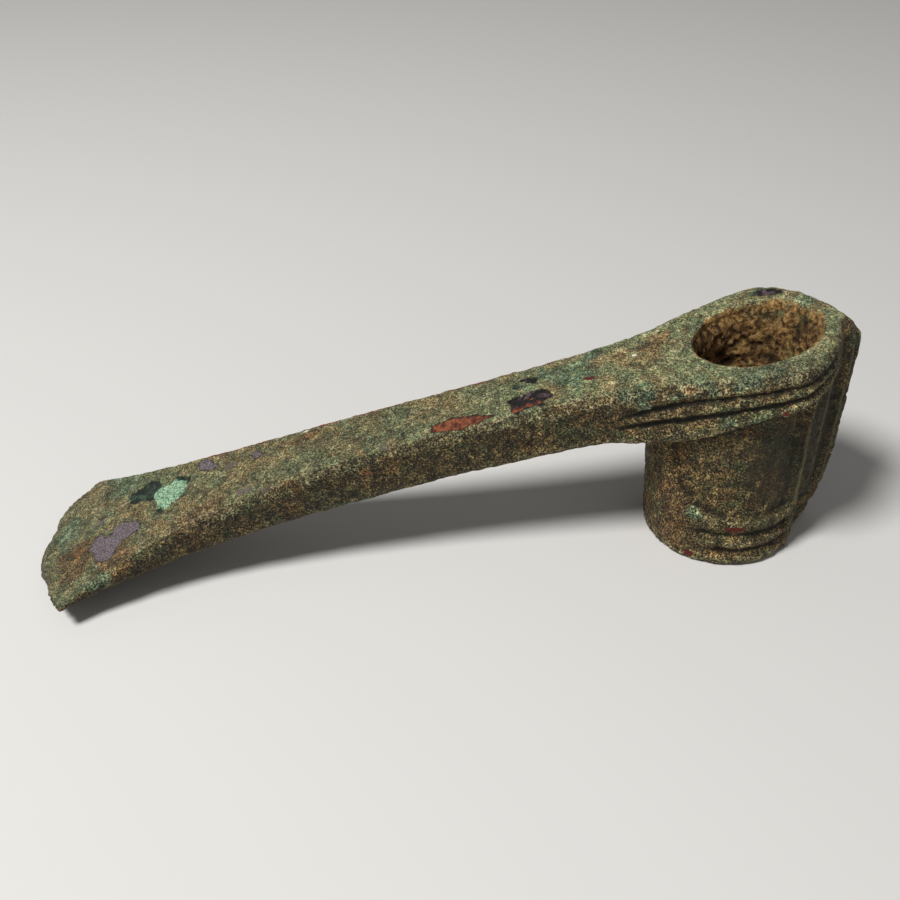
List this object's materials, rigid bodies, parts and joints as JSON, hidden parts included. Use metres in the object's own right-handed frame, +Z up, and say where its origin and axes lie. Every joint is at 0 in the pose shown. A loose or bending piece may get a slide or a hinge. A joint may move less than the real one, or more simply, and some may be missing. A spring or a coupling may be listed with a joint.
{
  "type": "socketed adze",
  "caption": "Cast bronze adze: a long blade flaring to a curved cutting edge, and an upright haft socket with ribbed collars and a fluted keel at its back.",
  "frame": {"origin": "middle of the bounding box, at the level that the foot rim and the cutting edge stand on", "axes": "+Z up along the socket, +X towards the keel at the back of the socket, blade towards -X, mirror plane at about y = 0"},
  "size_m": [0.2188, 0.0519, 0.0657],
  "materials": {
    "patinated_bronze": "corroded bronze, matt granular green and brown patina",
    "earthy_concretion": "lumpy earthy corrosion crust, dull",
    "malachite": "powdery pale green corrosion crust"
  },
  "bodies": {
    "root": {"adze_casting": "patinated_bronze", "socket_concretion": "earthy_concretion", "malachite_crust": "malachite"}
  },
  "joints": []
}
